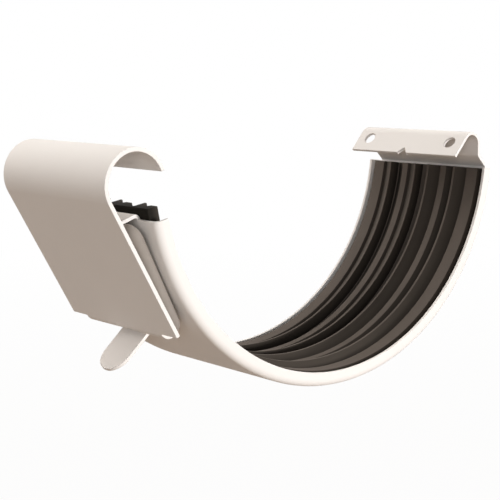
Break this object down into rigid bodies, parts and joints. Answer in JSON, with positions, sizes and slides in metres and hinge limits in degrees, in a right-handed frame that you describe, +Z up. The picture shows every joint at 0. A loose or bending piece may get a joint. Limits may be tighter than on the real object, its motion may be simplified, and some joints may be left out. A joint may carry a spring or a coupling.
{
  "type": "gutter union",
  "caption": "Half-round gutter union: coated sheet band with a lipped rubber gasket and a rear hook, closed at the front by a rolled clasp that swings on a wire bail",
  "frame": {"origin": "on the axis of the half-round gutter that the union seals, at the middle of the band's width", "axes": "X across the gutter with the clasp at -X and the rear hook at +X, Y along the gutter, Z up"},
  "size_m": [0.152, 0.052, 0.0742],
  "materials": {
    "coated_steel": "smooth satin off-white coil coating",
    "rubber": "matt black EPDM",
    "steel_wire": "dull grey coated round wire"
  },
  "bodies": {
    "band": {"band": "coated_steel", "gasket": "rubber"},
    "bail": {"bail": "steel_wire"},
    "clasp": {"clasp": "coated_steel"}
  },
  "joints": [
    {"name": "bail_hinge", "type": "hinge", "parent": "band", "child": "bail", "pos_m": [-0.07132, 0, -0.01778], "axis": [0, 1, 0], "range_deg": [0, 90]},
    {"name": "clasp_hinge", "type": "hinge", "parent": "bail", "child": "clasp", "pos_m": [-0.05792, 0, -0.04525], "axis": [0, -1, 0], "range_deg": [0, 100]}
  ]
}
